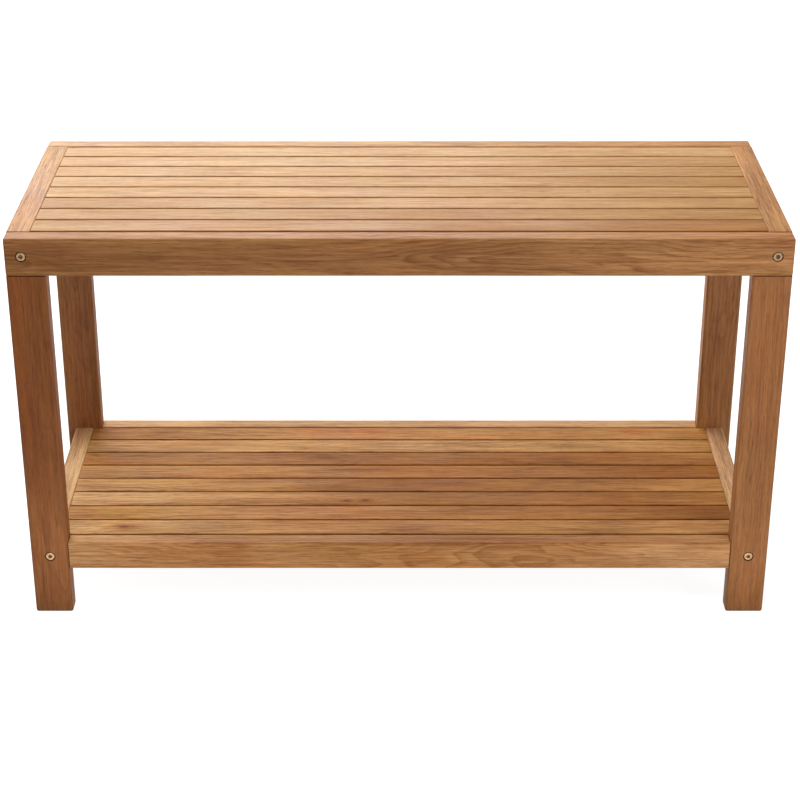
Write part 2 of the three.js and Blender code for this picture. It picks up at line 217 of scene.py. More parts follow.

# What each feature multiplies the wood's colour by, then the colours of knots and of dirt and painted shade
# on metal.
WARM_TINT = (1.03, 0.88, 0.72)
COOL_TINT = (1.01, 1.07, 0.94)
PORE_TINT = (0.45, 0.36, 0.3)
KNOT_HALO_TINT = (0.8, 0.56, 0.3)
END_GRAIN_TINT = (0.6, 0.5, 0.42)
# Painted shade on the walls of holes, housings and slat gaps.
RECESS_SHADE_TINT = (0.46, 0.34, 0.26)
# Lightens worn edges: partly real wear, partly a painted highlight along the arrises.
WEAR_AND_HIGHLIGHT_TINT = (1.2, 1.18, 1.14)
KNOT_COLOUR = (0.15, 0.055, 0.016)
DIRT_AND_SHADE_COLOUR = (0.1, 0.055, 0.028)

EVEN = ToneAndPaintedLight(1.0, 1.0, 1.0, 0.0, 0.5)
# Partly the wood's own tone and partly painted light and shade: front seat slats and the front left leg
# darker, left ends and shelf rails lighter, shelf slats darker in the middle where the seat shades them.
TONES_AND_PAINTED_LIGHT = {
    "front_left_leg": ToneAndPaintedLight(1.0, 0.7, 0.75, 0.3, 0.5),
    "front_right_leg": ToneAndPaintedLight(1.0, 1.0, 1.2, 0.1, 0.5),
    "rear_left_leg": ToneAndPaintedLight(1.05, 1.1, 1.1, 0.0, 0.5),
    "rear_right_leg": ToneAndPaintedLight(1.15, 1.2, 1.2, -0.4, 0.5),
    "seat_front_rail": ToneAndPaintedLight(0.95, 0.95, 1.1, 0.0, 1.0),
    "seat_rear_rail": ToneAndPaintedLight(1.3, 1.2, 1.05, -0.4, 0.4),
    "seat_left_rail": ToneAndPaintedLight(1.15, 1.15, 1.2, -0.2, 0.4),
    "seat_right_rail": ToneAndPaintedLight(1.0, 1.05, 1.1, 0.0, 0.4),
    "seat_slat_1": ToneAndPaintedLight(0.95, 0.85, 0.75, 0.2, 0.5),
    "seat_slat_2": ToneAndPaintedLight(0.95, 0.85, 0.9, 0.0, 0.4),
    "seat_slat_3": ToneAndPaintedLight(0.9, 1.0, 0.95, -0.1, 0.4),
    "seat_slat_4": ToneAndPaintedLight(1.15, 0.95, 1.0, 0.0, 0.4),
    "seat_slat_5": ToneAndPaintedLight(1.15, 1.0, 0.85, 0.0, 0.4),
    "seat_slat_6": ToneAndPaintedLight(1.1, 1.0, 0.95, 0.0, 0.4),
    "seat_slat_7": ToneAndPaintedLight(1.15, 1.05, 1.0, -0.1, 0.4),
    "seat_slat_8": ToneAndPaintedLight(1.1, 1.1, 1.1, -0.1, 0.4),
    "shelf_front_rail": ToneAndPaintedLight(1.1, 0.9, 1.05, -0.2, 1.0),
    "shelf_rear_rail": ToneAndPaintedLight(1.2, 1.2, 1.3, -0.3, 0.4),
    "shelf_left_rail": ToneAndPaintedLight(1.3, 1.3, 1.3, -0.2, 0.4),
    "shelf_right_rail": ToneAndPaintedLight(1.4, 1.4, 1.4, -0.4, 0.4),
    "shelf_slat_1": ToneAndPaintedLight(1.3, 0.8, 1.1, 0.0, 0.6),
    "shelf_slat_2": ToneAndPaintedLight(1.0, 0.9, 0.7, 0.2, 0.6),
    "shelf_slat_3": ToneAndPaintedLight(1.4, 0.7, 0.8, -0.2, 0.6),
    "shelf_slat_4": ToneAndPaintedLight(1.2, 0.6, 1.0, -0.1, 0.8),
    "shelf_slat_5": ToneAndPaintedLight(1.1, 0.8, 0.7, 0.2, 0.5),
    "shelf_slat_6": ToneAndPaintedLight(0.9, 0.7, 0.8, 0.3, 0.5),
    "shelf_slat_7": ToneAndPaintedLight(1.0, 1.2, 1.0, -0.4, 0.5),
    "shelf_slat_8": ToneAndPaintedLight(0.8, 1.1, 0.9, 0.0, 0.6),
}

PATCHES = {
    "shelf_slat_1": (
        Patch(-0.362, 0.003, 0.022, 0.012, (1.25, 1.3, 1.3)),
        Patch(-0.335, 0.0, 0.03, 0.008, (0.8, 0.68, 0.55)),
    ),
    "shelf_slat_2": (
        Patch(-0.335, 0.0, 0.045, 0.02, (1.12, 1.12, 0.72)),
        Patch(0.39, 0.0, 0.04, 0.02, (0.72, 0.65, 0.58)),
    ),
    "shelf_slat_3": (
        Patch(-0.25, 0.004, 0.09, 0.007, (1.18, 1.28, 1.45)),
        Patch(-0.15, -0.004, 0.08, 0.006, (0.85, 0.8, 0.75)),
    ),
    "shelf_slat_4": (
        Patch(-0.29, 0.0, 0.05, 0.012, (1.15, 1.18, 1.15)),
        Patch(0.065, 0.004, 0.045, 0.007, (0.78, 0.72, 0.7)),
        Patch(0.14, 0.0, 0.03, 0.01, (1.1, 1.15, 1.1)),
    ),
    "shelf_slat_5": (Patch(-0.03, 0.004, 0.05, 0.01, (0.85, 0.78, 0.75)),),
    "shelf_slat_6": (
        Patch(-0.14, 0.004, 0.02, 0.01, (1.2, 1.2, 1.1)),
        Patch(-0.085, 0.004, 0.03, 0.009, (0.72, 0.74, 0.62)),
    ),
    "shelf_slat_7": (Patch(-0.37, 0.002, 0.05, 0.014, (1.1, 1.2, 1.5)),),
    "shelf_slat_8": (
        Patch(-0.32, 0.0, 0.025, 0.012, (0.75, 0.68, 0.62)),
        Patch(-0.12, 0.007, 0.03, 0.01, (1.15, 0.92, 0.8)),
        Patch(-0.05, 0.007, 0.022, 0.01, (1.15, 0.88, 0.78)),
        Patch(0.32, 0.007, 0.02, 0.008, (1.05, 0.72, 0.62)),
    ),
    "shelf_front_rail": (
        Patch(-0.207, 0.0, 0.03, 0.02, (0.82, 0.74, 0.68)),
        Patch(0.187, -0.014, 0.008, 0.006, (0.7, 0.6, 0.5)),
        Patch(0.262, -0.01, 0.05, 0.008, (0.85, 0.78, 0.72)),
        Patch(0.1, 0.02, 0.25, 0.005, (0.8, 0.65, 0.5)),
        Patch(-0.32, 0.02, 0.12, 0.005, (1.15, 1.2, 1.2)),
        Patch(0.38, -0.005, 0.14, 0.015, (1.08, 1.15, 1.35)),
    ),
    # The first two patches here are painted shade and painted light: the rail darker over its left and
    # middle, lighter at its right end.
    "seat_front_rail": (
        Patch(-0.12, -0.004, 0.45, 0.018, (0.85, 0.8, 0.8)),
        Patch(0.38, -0.004, 0.18, 0.018, (1.3, 1.25, 1.3)),
        Patch(-0.4, 0.004, 0.06, 0.012, (0.88, 0.78, 0.74)),
    ),
}

# Up to two knots on a board: place along and across it, and radius. NO_KNOT lies far off every board.
NO_KNOT = (9.0, 9.0, 0.002)
KNOTS = {
    "shelf_slat_1": ((-0.341, 0.0, 0.0036), NO_KNOT),
    "shelf_slat_3": ((-0.066, -0.006, 0.0022), (-0.043, -0.005, 0.0026)),
}


def box_centre(low, high):
    return (low + high) / 2


def node_centre(node):
    return box_centre(*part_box(node))


def inner_reach(node, axis):
    """Smallest distance from a node's box to the middle of the bench along an axis."""
    low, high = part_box(node)
    return min(abs(low[axis]), abs(high[axis]))


# ---- meshes


def add_piece(name, mesh):
    """Turns a bmesh into an object of the scene."""
    data = bpy.data.meshes.new(name)
    mesh.to_mesh(data)
    mesh.free()
    piece = bpy.data.objects.new(name, data)
    bpy.context.scene.collection.objects.link(piece)
    return piece


def smooth(piece, angle=SHARP_ANGLE):
    """Shades a piece smooth, apart from creases sharper than an angle."""
    for polygon in piece.data.polygons:
        polygon.use_smooth = True
    piece.data.set_sharp_from_angle(angle=angle)


def bridge(mesh, lower, upper):
    """Faces between two rings of points, either of which may be a single point."""
    count = max(len(lower), len(upper))
    for k in range(count):
        after = (k + 1) % count
        if len(lower) == 1:
            mesh.faces.new((lower[0], upper[after], upper[k]))
        elif len(upper) == 1:
            mesh.faces.new((lower[k], lower[after], upper[0]))
        else:
            mesh.faces.new((lower[k], lower[after], upper[after], upper[k]))


def revolve(profile, origin, direction, segments=ROUND_SEGMENTS, shape=None, turn=0.0):
    """Closed mesh turned around a line; profile holds (radius, height) from one pole to the other."""
    side = Vector((0, 0, 1)) if abs(direction.z) < 0.5 else Vector((1, 0, 0))
    other = direction.cross(side)
    mesh = bmesh.new()
    rings = []
    for radius, height in profile:
        centre = origin + direction * height
        if radius == 0:
            rings.append([mesh.verts.new(centre)])
            continue
        ring = []
        for k in range(segments):
            angle = turn + 2 * math.pi * k / segments
            reach = shape(radius, angle, height) if shape else radius
            ring.append(mesh.verts.new(centre + reach * (math.cos(angle) * side + math.sin(angle) * other)))
        rings.append(ring)
    for lower, upper in zip(rings, rings[1:]):
        bridge(mesh, lower, upper)
    bmesh.ops.recalc_face_normals(mesh, faces=mesh.faces)
    return mesh


def block(low, high):
    """Cutter in the shape of a box between two corners given in any order."""
    mesh = bmesh.new()
    size = [abs(b - a) for a, b in zip(low, high)]
    centre = [(a + b) / 2 for a, b in zip(low, high)]
    bmesh.ops.create_cube(mesh, size=1, matrix=Matrix.Translation(centre) @ Matrix.Diagonal((*size, 1)))
    return mesh


def bore(diameter, origin, direction, length):
    """Cutter for a plain round hole."""
    radius = diameter / 2
    return revolve([(0, 0), (radius, 0), (radius, length), (0, length)], origin, direction)


def carve(piece, cutters):
    """Subtracts each cutter from the piece and keeps the result as its mesh."""
    tools = []
    for cutter in cutters:
        tool = add_piece("cutter", cutter)
        change = piece.modifiers.new("cut", "BOOLEAN")
        change.operation = "DIFFERENCE"
        change.solver = "EXACT"
        change.object = tool
        tools.append(tool)
    bpy.context.view_layer.update()
    whole = piece.data
    piece.data = bpy.data.meshes.new_from_object(piece.evaluated_get(bpy.context.evaluated_depsgraph_get()))
    piece.modifiers.clear()
    bpy.data.meshes.remove(whole)
    for tool in tools:
        bpy.data.meshes.remove(tool.data)
    tidy_mesh(piece.data)


def tidy_mesh(data):
    """Removes the doubled points and slivers that cutting leaves."""
    mesh = bmesh.new()
    mesh.from_mesh(data)
    bmesh.ops.remove_doubles(mesh, verts=mesh.verts, dist=2e-6)
    bmesh.ops.dissolve_degenerate(mesh, edges=mesh.edges, dist=1e-6)
    mesh.to_mesh(data)
    mesh.free()


# ---- boards


def board_of(node):
    """Frame of the board that a CAD node stands for; its grain runs along its longest side."""
    low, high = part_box(node)
    size = high - low
    thin, wide, long = sorted(range(3), key=lambda i: size[i])
    return Board(box_centre(low, high), long, wide, thin, size / 2)


def corner_points(half_wide, half_thin, radius):
    """Section of a board as points around it, with rounded corners and supports along its faces."""
    corners = ((1, 1), (-1, 1), (-1, -1), (1, -1))

    def on_arc(index, quarters):
        sign_wide, sign_thin = corners[index % 4]
        angle = quarters * math.pi / 2
        u = sign_wide * (half_wide - radius) + radius * math.cos(angle)
        v = sign_thin * (half_thin - radius) + radius * math.sin(angle)
        return u, v

    points = []
    for index in range(4):
        points += [on_arc(index, index + step / CORNER_STEPS) for step in range(CORNER_STEPS + 1)]
        start = points[-1]
        target = on_arc(index + 1, index + 1)
        for share in WIDE_SUPPORTS if index % 2 == 0 else NARROW_SUPPORTS:
            points.append(tuple(a + (b - a) * share for a, b in zip(start, target)))
    return points


def stations(half_long, ease):
    """Places along a board and how far its section is drawn in there, which rounds both ends."""
    rounded = []
    for step in range(END_STEPS):
        angle = step / END_STEPS * math.pi / 2
        rounded.append((half_long - ease + ease * math.cos(angle), ease * (1 - math.sin(angle))))
    flat = half_long - ease
    count = max(2, round(2 * flat / STATION_STEP))
    middle = [(-flat + 2 * flat * i / count, 0.0) for i in range(count + 1)]
    return [(-place, inset) for place, inset in rounded] + middle + [(p, i) for p, i in reversed(rounded)]


def planed(point, normal, seed):
    """Moves a point of a long face in a little, as a plane and sanding block leave it."""
    where = point * PLANING_WAVES + Vector((seed, 0, 0))
    return point - normal * PLANING_DEPTH * (0.5 + 0.5 * noise.noise(where))


def board_mesh(board, arris, ease, seed):
    """Board with rounded arrises that vary a little along it, gently uneven faces and eased ends."""
    mesh = bmesh.new()
    wide, thin = AXES[board.wide], AXES[board.thin]
    half_wide, half_thin = board.half[board.wide], board.half[board.thin]
    rings = []
    for place, inset in stations(board.half[board.long], ease):
        drift = ARRIS_DRIFT * noise.noise(Vector((place * ARRIS_WAVES, seed, 0))) if inset == 0 else 0
        worked = arris * (1 + drift)
        ring = []
        for u, v in corner_points(half_wide - inset, half_thin - inset, worked - inset):
            point = board.centre + AXES[board.long] * place + wide * u + thin * v
            facing_wide = math.copysign((abs(u) / (half_wide - inset)) ** FACE_POWER, u)
            facing_thin = math.copysign((abs(v) / (half_thin - inset)) ** FACE_POWER, v)
            ring.append(mesh.verts.new(planed(point, wide * facing_wide + thin * facing_thin, seed)))
        rings.append(ring)
    for lower, upper in zip(rings, rings[1:]):
        bridge(mesh, lower, upper)
    mesh.faces.new(rings[0])
    mesh.faces.new(rings[-1])
    bmesh.ops.recalc_face_normals(mesh, faces=mesh.faces)
    return mesh


def local_point(board, point):
    """A point as distances along, across and through its board from the board's centre."""
    offset = point - board.centre
    return Vector((offset[board.long], offset[board.wide], offset[board.thin]))


def local_half(board):
    """Half sizes of a board along, across and through it."""
    return (board.half[board.long], board.half[board.wide], board.half[board.thin])


def depths(board, local):
    """How far a point lies inside its board's faces, along, across and through it."""
    return [half - abs(value) for half, value in zip(local_half(board), local)]


def edge_wear_and_highlight(board, local):
    """1 on the worked edges of a board, falling to 0 within a few millimetres; there wear and a painted
    highlight lighten it.
    """
    return max(0.0, 1.0 - sorted(depths(board, local))[1] / WEAR_AND_HIGHLIGHT_REACH)


def tone_and_painted_light_at(tone_and_painted_light, share):
    """Lightness (painted light and shade included), warmth and ring strength of a board at a share of its
    length, from -1 to 1.
    """
    other = tone_and_painted_light.end if share > 0 else tone_and_painted_light.start
    return (tone_and_painted_light.middle + (other - tone_and_painted_light.middle) * abs(share), tone_and_painted_light.warm, tone_and_painted_light.rings)


def stain_and_painted_light(node, local):
    """Product of the tints of the soft patches on a board at one point."""
    tint = [1.0, 1.0, 1.0]
    for patch in PATCHES.get(node, ()):
        along = (local.x - patch.along) / patch.reach_along
        across = (local.y - patch.across) / patch.reach_across
        share = math.exp(-(along**2 + across**2))
        tint = [value * (1 + (factor - 1) * share) for value, factor in zip(tint, patch.tint)]
    return tint


def recess_shade(board, local):
    """1 on the walls of holes and housings, where shade is painted, 0 on a board's outer faces."""
    return min(1.0, max(0.0, (min(depths(board, local)) - SKIN) / MM))


def gap_faces(node):
    """Which faces of a board look into the gaps between the slats, as (local axis, side)."""
    if "_slat_" in node:
        return ((1, -1), (1, 1))
    if node.endswith("front_rail"):
        return ((2, 1),)
    if node.endswith("rear_rail"):
        return ((2, -1),)
    return ()


def painted_gap_shade(board, local, below_top, faces):
    """1 on the walls of a gap between slats, just under the arris, where shade is painted."""
    if not MM < below_top < SLAT_THICKNESS:
        return 0.0
    half = local_half(board)
    return 1.0 if any(half[axis] - side * local[axis] < SKIN for axis, side in faces) else 0.0


def write_vectors(piece, name, vectors):
    layer = piece.data.attributes.new(name, "FLOAT_VECTOR", "POINT")
    layer.data.foreach_set("vector", [number for vector in vectors for number in vector])


def write_values(piece, name, values, domain="POINT"):
    layer = piece.data.attributes.new(name, "FLOAT", domain)
    layer.data.foreach_set("value", values)


def write_wood_data(piece, node, board, seed):
    """Stores on the mesh what the wood needs: grain, rings, tone with painted light and shade, knots,
    stains, wear with a painted highlight, painted shade in holes and gaps, and end grain.
    """
    chance = random.Random(seed)
    tone_and_painted_light = TONES_AND_PAINTED_LIGHT.get(node, EVEN)
    heart_across = chance.uniform(-0.03, 0.03)
    heart_through = chance.choice((-1, 1)) * chance.uniform(0.012, 0.05)
    heart = (heart_across, heart_through, chance.uniform(2.2, 4.2) * MM)
    shift = Vector((seed * SEED_SPACING, 0, 0))
    places = [local_point(board, vertex.co) for vertex in piece.data.vertices]
    count = len(places)
    write_vectors(piece, "grain", [place + shift for place in places])
    write_vectors(piece, "heart", [heart] * count)
    # Board tone, partly painted light and shade.
    write_vectors(piece, "tone_and_painted_light", [tone_and_painted_light_at(tone_and_painted_light, place.x / board.half[board.long]) for place in places])
    for name, knot in zip(("knot", "second_knot"), KNOTS.get(node, (NO_KNOT, NO_KNOT))):
        write_vectors(piece, name, [(knot[0] + shift.x, knot[1], knot[2])] * count)
    # Soft patches: stains, and painted light and shade on the seat's front rail.
    write_vectors(piece, "stain_and_painted_light", [stain_and_painted_light(node, place) for place in places])
    # Edges: wear and a painted highlight.
    write_values(piece, "worn_and_highlit", [edge_wear_and_highlight(board, place) for place in places])
    # Painted shade on the walls of holes, housings and slat gaps, stored as the cut values.
    heights = [board.centre.z + board.half.z - vertex.co.z for vertex in piece.data.vertices]
    faces = gap_faces(node)
    dirt_and_shade = [max(recess_shade(board, p), painted_gap_shade(board, p, h, faces)) for p, h in zip(places, heights)]
    write_values(piece, "cut", dirt_and_shade)
    end_faces = [abs(normal.vector[board.long]) for normal in piece.data.corner_normals]
    write_values(piece, "end_grain", end_faces, "CORNER")


# ---- joints


def bolt_hole(x, z, sign, outer, inner):
    """Stepped hole for a bolt from a board's outer face, its rim slightly broken."""
    head = COUNTERBORE / 2
    shank = BOLT_HOLE / 2
    depth = outer - inner
    profile = [
        (0, -OVERCUT),
        (head + RIM_FLARE, -OVERCUT),
        (head + RIM_FLARE, 0),
        (head, RIM_FLARE),
        (head, COUNTERBORE_DEPTH),
        (shank, COUNTERBORE_DEPTH),
        (shank, depth),
        (0, depth),
    ]
    return revolve(profile, Vector((x, sign * outer, z)), -sign * AXES[1])


def nut_hole(nut, inner_x, side):
    """Blind hole across a side rail for a barrel nut, open on the rail's inner face."""
    low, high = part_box(nut)
    centre = box_centre(low, high)
    start = side * (inner_x - OVERCUT)
    length = abs(centre.x - start) + (high.x - low.x) / 2 + FIT
    return bore(NUT_HOLE, Vector((start, centre.y, centre.z)), side * AXES[0], length)


def shank_hole(bolt, rail_end, sign):
    """Straight hole for a bolt's shank in the end of a side rail."""
    centre = node_centre(bolt)
    tip = inner_reach(bolt, 1) - OVERCUT
    start = Vector((centre.x, sign * tip, centre.z))
    return bore(BOLT_HOLE, start, sign * AXES[1], rail_end + OVERCUT - tip)


def dowel_hole(dowel, sign, start, stop):
    """Hole around a dowel, between two distances from the middle along Y."""
    centre = node_centre(dowel)
    origin = Vector((centre.x, sign * start, centre.z))
    return bore(DOWEL_HOLE, origin, sign * AXES[1], stop - start)


def tenon_slot(tenon, from_x, to_x):
    """Round-cornered slot around a loose tenon between two places along X."""
    centre = node_centre(tenon)
    thickness, height = TENON_SLOT
    slot = bmesh.new()
    rings = []
    for x in (from_x, to_x):
        ring = []
        for u, v in corner_points(height / 2, thickness / 2, thickness / 2 - FIT):
            ring.append(slot.verts.new((x, centre.y + v, centre.z + u)))
        rings.append(ring)
    bridge(slot, *rings)
    for ring in rings:
        slot.faces.new(ring)
    bmesh.ops.recalc_face_normals(slot, faces=slot.faces)
    return slot


def batten_housing(batten, sign, inner):
    """Cutter for a batten's end in a long rail's inner face."""
    low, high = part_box(batten)
    return block(
        (low.x - FIT, sign * (inner - OVERCUT), low.z - FIT),
        (high.x + FIT, sign * (inner + BATTEN_HOUSING), high.z + FIT),
    )


def leg_cutters(end, side):
    """Lap, bolt holes and tenon slot of a leg."""
    sign, turn = ENDS[end], SIDES[side]
    low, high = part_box(f"{end}_{side}_leg")
    outer = max(sign * low.y, sign * high.y)
    inner = inner_reach(f"{end}_{side}_leg", 1)
    seat_bolt = node_centre(f"seat_bolt_{end}_{side}")
    shelf_bolt = node_centre(f"shelf_bolt_{end}_{side}")
    bore_start = Vector((seat_bolt.x, sign * (inner - OVERCUT), seat_bolt.z))
    slot_end = turn * (LEG_INNER_X + TENON_SLOT_IN_LEG)
    return [
        block(
            (low.x - OVERCUT, sign * (LAP_LINE - FIT), SHOULDER - FIT),
            (high.x + OVERCUT, sign * (cad_high.y + OVERCUT), TONGUE_TOP + OVERCUT),
        ),
        bore(BOLT_HOLE, bore_start, sign * AXES[1], outer - inner + 2 * OVERCUT),
        bolt_hole(shelf_bolt.x, shelf_bolt.z, sign, outer, inner - OVERCUT),
        tenon_slot(f"shelf_tenon_{end}_{side}", turn * (LEG_INNER_X - OVERCUT), slot_end),
    ]


def seat_long_rail_cutters(end):
    """Batten housings, leg pockets, bolt and dowel holes of the seat's front or rear rail."""
    sign = ENDS[end]
    hole_end = SEAT_RAIL_INNER + DOWEL_HOLE_DEPTH
    cutters = [batten_housing(f"seat_batten_{place}", sign, SEAT_RAIL_INNER) for place in PLACES]
    for side, turn in SIDES.items():
        bolt = node_centre(f"seat_bolt_{end}_{side}")
        cutters += [
            block(
                (turn * (LEG_INNER_X - FIT), sign * (SEAT_RAIL_INNER - OVERCUT), SHOULDER - OVERCUT),
                (turn * (cad_high.x + OVERCUT), sign * LAP_LINE, TONGUE_TOP + FIT),
            ),
            bolt_hole(bolt.x, bolt.z, sign, cad_high.y, LAP_LINE - OVERCUT),
            dowel_hole(f"seat_dowel_{end}_{side}", sign, SEAT_RAIL_INNER - OVERCUT, hole_end),
        ]
    return cutters


def side_rail_cutters(level, side):
    """Bores for the bolts and nuts in both ends of a side rail."""
    inner_x = inner_reach(f"{level}_{side}_rail", 0)
    cutters = []
    for end, sign in ENDS.items():
        cutters.append(nut_hole(f"{level}_nut_{end}_{side}", inner_x, SIDES[side]))
        rail_end = inner_reach(f"{end}_{side}_leg", 1)
        cutters.append(shank_hole(f"{level}_bolt_{end}_{side}", rail_end, sign))
    return cutters


def seat_side_rail_cutters(side):
    """Bores of a seat side rail, the notch around the rear leg's tongue and the dowel holes."""
    low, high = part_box(f"seat_{side}_rail")
    hole_end = SEAT_RAIL_INNER - DOWEL_HOLE_DEPTH
    notch = block(
        (low.x - OVERCUT, inner_reach(f"rear_{side}_leg", 1) - FIT, SHOULDER - OVERCUT),
        (high.x + OVERCUT, cad_high.y, TONGUE_TOP + FIT),
    )
    cutters = [*side_rail_cutters("seat", side), notch]
    for end, sign in ENDS.items():
        cutters.append(dowel_hole(f"seat_dowel_{end}_{side}", sign, hole_end, SEAT_RAIL_INNER + OVERCUT))
    return cutters


def shelf_long_rail_cutters(end):
    """Batten housings and tenon slots of the shelf's front or rear rail."""
    sign = ENDS[end]
    inner = inner_reach(f"shelf_{end}_rail", 1)
    cutters = [batten_housing(f"shelf_batten_{place}", sign, inner) for place in PLACES]
    for side, turn in SIDES.items():
        start = turn * (LEG_INNER_X - TENON_SLOT_IN_RAIL)
        cutters.append(tenon_slot(f"shelf_tenon_{end}_{side}", start, turn * (LEG_INNER_X + OVERCUT)))
    return cutters


def screw_places(level, place):
    """Centres of a batten's wood screws, on its lower face."""
    low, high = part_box(f"{level}_batten_{place}")
    x = (low.x + high.x) / 2
    places = []
    for slat in SLATS:
        y = node_centre(f"{level}_slat_{slat}").y
        for sign in (-1, 1):
            places.append(Vector((x + sign * SCREW_SPREAD, y + sign * SCREW_SPREAD, low.z)))
    return places


def merged(meshes):
    """One bmesh holding several that don't touch."""
    whole = bmesh.new()
    holder = bpy.data.meshes.new("part")
    for mesh in meshes:
        mesh.to_mesh(holder)
        whole.from_mesh(holder)
        mesh.free()
    bpy.data.meshes.remove(holder)
    return whole


def screw_hole(place, depth):
    """Countersunk hole from a face that looks down."""
    head = SCREW_HEAD_RADIUS + SCREW_HEAD_FIT
    shank = SCREW_SHANK_RADIUS + SCREW_SHANK_FIT
    profile = [
        (0, -OVERCUT),
        (head, -OVERCUT),
        (head, SCREW_SINK),
        (shank, SCREW_SINK + SCREW_HEAD_DEPTH),
        (shank, depth),
        (0, depth),
    ]
    return revolve(profile, place, AXES[2], SCREW_HOLE_SEGMENTS)


def wooden(node, slot, cutters, arris, ease, seed):
    """Rebuilds one board finer, with its joints, its wood data and its material."""
    board = board_of(node)
    piece = add_piece(f"{node}_wood", board_mesh(board, arris, ease, seed))
    if cutters:
        carve(piece, cutters)
    smooth(piece)
    write_wood_data(piece, node, board, seed)
    settle(piece, slot, node)


def settle(piece, slot, *nodes):
    """Gives a piece its slot's material, attaches it to the root body and hides the CAD nodes it stands for.
    """
    piece.data.materials.append(MATERIALS[slot])
    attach(piece, "root")
    if nodes:
        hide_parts(*nodes)


def settle_metal(piece, slot, dirt_and_shade, *nodes):
    """The same for a metal piece, which also stores at each point how dark dirt and painted shade make it.
    """
    smooth(piece, METAL_SHARP_ANGLE)
    write_values(piece, "dirt_and_shade", dirt_and_shade)
    settle(piece, slot, *nodes)


# ---- fasteners


def thread(radius, angle, height):
    """Radius of a bolt's shank, cut with a screw thread over its last stretch."""
    if radius < SHANK_RADIUS - 1e-6 or height > THREAD_LENGTH:
        return radius
    phase = (height / THREAD_PITCH + angle / (2 * math.pi)) % 1
    return radius - THREAD_DEPTH * abs(2 * phase - 1)


def bolt_profile(head, length):
    """Outline of a bolt from its tip to the middle of its head."""
    under = length - HEAD_HEIGHT
    profile = [(0, 0), (SHANK_RADIUS - SHANK_TIP, 0)]
    steps = math.ceil(under / (THREAD_PITCH / THREAD_STEPS))
    for i in range(1, steps):
        profile.append((SHANK_RADIUS, THREAD_MARGIN + (under - 2 * THREAD_MARGIN) * i / steps))
    profile += [(SHANK_RADIUS, under - 0.1 * MM), (head - HEAD_BEVEL, under), (head, under + HEAD_BEVEL)]
    profile += [(head - inset * MM, length - drop * MM) for inset, drop in HEAD_CROWN]
    return profile + [(0, profile[-1][1])]


def socket_cutter(bottom, direction, turn):
    """Hexagonal cutter with a drilled tip."""
    profile = [
        (0, 0),
        (SOCKET_RADIUS * 0.3, 0.5 * MM),
        (SOCKET_RADIUS, SOCKET_TIP),
        (SOCKET_RADIUS, SOCKET_CUTTER),
        (0, SOCKET_CUTTER),
    ]
    return revolve(profile, bottom, direction, 6, turn=turn)


def bolt_dirt_and_shade(piece, origin, mouth, head, tarnish):
    """How dark a bolt is made at each point: painted shade in the socket and around the rim of the head, a
    random tarnish elsewhere.
    """
    dirt_and_shade = []
    for vertex in piece.data.vertices:
        off_axis = math.hypot(vertex.co.x - origin.x, vertex.co.z - origin.z)
        in_socket = abs(vertex.co.y) < mouth and off_axis < 1.05 * SOCKET_RADIUS
        on_rim = off_axis > head - HEAD_RIM
        # Painted shade in the socket and at the rim of the head; a random tarnish elsewhere.
        dirt_and_shade.append(SOCKET_SHADE if in_socket else RIM_SHADE if on_rim else tarnish)
    return dirt_and_shade


def hex_bolt(node):
    """Furniture bolt: threaded shank, domed head with a turned groove and a hexagonal socket."""
    low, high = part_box(node)
    centre = box_centre(low, high)
    direction = math.copysign(1, centre.y) * AXES[1]
    tip = inner_reach(node, 1)
    origin = Vector((centre.x, direction.y * tip, centre.z))
    length = high.y - low.y
    head = (high.x - low.x) / 2
    chance = random.Random(node)
    turn = chance.uniform(0, math.pi / 3)
    piece = add_piece(f"{node}_metal", revolve(bolt_profile(head, length), origin, direction, shape=thread))
    carve(piece, [socket_cutter(origin + direction * (length - SOCKET_DEPTH - SOCKET_TIP), direction, turn)])
    tarnish = chance.uniform(0.1, 0.35)
    dirt_and_shade = bolt_dirt_and_shade(piece, origin, tip + length - SOCKET_MOUTH, head, tarnish)
    settle_metal(piece, "bolts", dirt_and_shade, node)


def chamfered(radius, low, high, chamfer):
    """Outline of a cylinder with chamfered ends."""
    return [
        (0, low),
        (radius - chamfer, low),
        (radius, low + chamfer),
        (radius, high - chamfer),
        (radius - chamfer, high),
        (0, high),
    ]


def barrel_nut(node):
    """Steel cross dowel with chamfered ends, a threaded hole and a screwdriver slot in its open end."""
    low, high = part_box(node)
    centre = box_centre(low, high)
    side = math.copysign(1, centre.x)
    radius = (high.z - low.z) / 2
    length = high.x - low.x
    profile = chamfered(radius, 0, length, NUT_CHAMFER)
    start = Vector((centre.x - side * length / 2, centre.y, centre.z))
    piece = add_piece(f"{node}_metal", revolve(profile, start, side * AXES[0]))
    slot = block(
        (start.x - side * OVERCUT, centre.y - radius - MM, centre.z - NUT_SLOT_WIDTH / 2),
        (start.x + side * NUT_SLOT_DEPTH, centre.y + radius + MM, centre.z + NUT_SLOT_WIDTH / 2),
    )
    hole = bore(NUT_THREAD_HOLE, Vector((centre.x, centre.y - 2 * radius, centre.z)), AXES[1], 4 * radius)
    carve(piece, [slot, hole])
    settle_metal(piece, "nuts", [NUT_GRIME] * len(piece.data.vertices), node)


def fluted(radius, angle, height):
    """Radius of a dowel with glue flutes along it."""
    return radius - DOWEL_FLUTE_DEPTH * max(0.0, math.cos(DOWEL_FLUTES * angle)) ** 3


